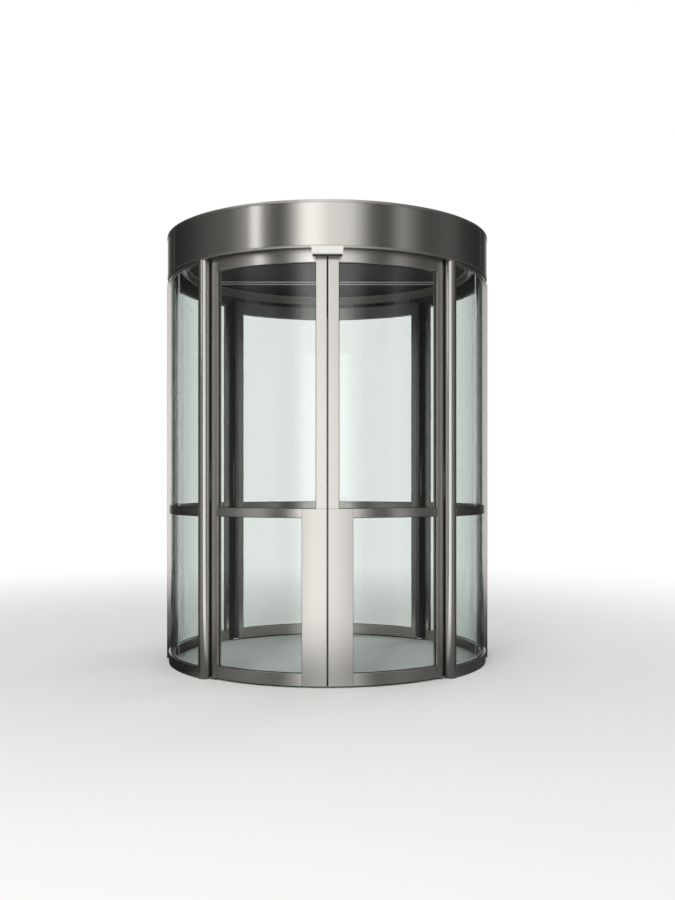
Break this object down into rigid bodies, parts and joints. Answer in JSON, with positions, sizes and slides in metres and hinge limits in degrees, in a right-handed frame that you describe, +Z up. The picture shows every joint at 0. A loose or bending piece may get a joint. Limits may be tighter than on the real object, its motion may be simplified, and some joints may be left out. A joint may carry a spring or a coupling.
{
  "type": "circular sliding door",
  "caption": "Round glass entrance drum with curved leaves that slide apart under a steel head, front and rear.",
  "frame": {"origin": "on the drum's upright axis, at floor level", "axes": "+Z up; the front pair of leaves faces -Y and the rear pair +Y; the building's wall meets the drum at +X and -X"},
  "size_m": [2.57, 2.58, 3.325],
  "materials": {
    "satin_stainless": "satin hairline stainless steel",
    "clear_glass": "clear curved glass with a faint green tone",
    "black_rubber": "black rubber and brush",
    "beam_steel": "grey primer",
    "track_aluminium": "mill finish",
    "carriage_steel": "zinc plated",
    "ceiling_panel": "gloss grey",
    "guide_steel": "dark satin",
    "trim_aluminium": "satin anodised",
    "sensor_case": "light grey moulding",
    "window_plastic": "dark infrared window",
    "roof_sheet": "grey zinc-coated sheet"
  },
  "bodies": {
    "drum": {"post_front_left": "satin_stainless", "post_front_right": "satin_stainless", "post_rear_left": "satin_stainless", "post_rear_right": "satin_stainless", "wall_post_left": "satin_stainless", "wall_post_right": "satin_stainless", "plinth_left": "satin_stainless", "plinth_right": "satin_stainless", "side_rail_left": "satin_stainless", "side_rail_right": "satin_stainless", "side_glass_front_left": "clear_glass", "side_glass_front_right": "clear_glass", "side_glass_rear_left": "clear_glass", "side_glass_rear_right": "clear_glass", "fascia": "satin_stainless", "fascia_lip": "satin_stainless", "roof_rim": "satin_stainless", "roof_plate": "roof_sheet", "soffit": "satin_stainless", "ring_beam": "beam_steel", "head_plate": "beam_steel", "track_hanger": "beam_steel", "track_rail": "track_aluminium", "inner_ring": "satin_stainless", "ceiling": "ceiling_panel", "ceiling_trims": "trim_aluminium", "floor_guides": "guide_steel", "sensor_cases": "sensor_case", "sensor_windows": "window_plastic"},
    "front_left_leaf": {"front_left_frame": "satin_stainless", "front_left_glass": "clear_glass", "front_left_seals": "black_rubber", "front_left_carriages": "carriage_steel"},
    "front_right_leaf": {"front_right_frame": "satin_stainless", "front_right_glass": "clear_glass", "front_right_seals": "black_rubber", "front_right_carriages": "carriage_steel"},
    "rear_left_leaf": {"rear_left_frame": "satin_stainless", "rear_left_glass": "clear_glass", "rear_left_seals": "black_rubber", "rear_left_carriages": "carriage_steel"},
    "rear_right_leaf": {"rear_right_frame": "satin_stainless", "rear_right_glass": "clear_glass", "rear_right_seals": "black_rubber", "rear_right_carriages": "carriage_steel"}
  },
  "joints": [
    {"name": "front_left_leaf_slide", "type": "hinge", "parent": "drum", "child": "front_left_leaf", "pos_m": [0, 0, 0], "axis": [0, 0, -1], "range_deg": [0, 40.5]},
    {"name": "front_right_leaf_slide", "type": "hinge", "parent": "drum", "child": "front_right_leaf", "pos_m": [0, 0, 0], "axis": [0, 0, 1], "range_deg": [0, 40.5]},
    {"name": "rear_left_leaf_slide", "type": "hinge", "parent": "drum", "child": "rear_left_leaf", "pos_m": [0, 0, 0], "axis": [0, 0, 1], "range_deg": [0, 40.5]},
    {"name": "rear_right_leaf_slide", "type": "hinge", "parent": "drum", "child": "rear_right_leaf", "pos_m": [0, 0, 0], "axis": [0, 0, -1], "range_deg": [0, 40.5]}
  ],
  "couplings": [
    {"joint": "front_right_leaf_slide", "follows": "front_left_leaf_slide", "ratio": 1},
    {"joint": "rear_right_leaf_slide", "follows": "rear_left_leaf_slide", "ratio": 1}
  ]
}
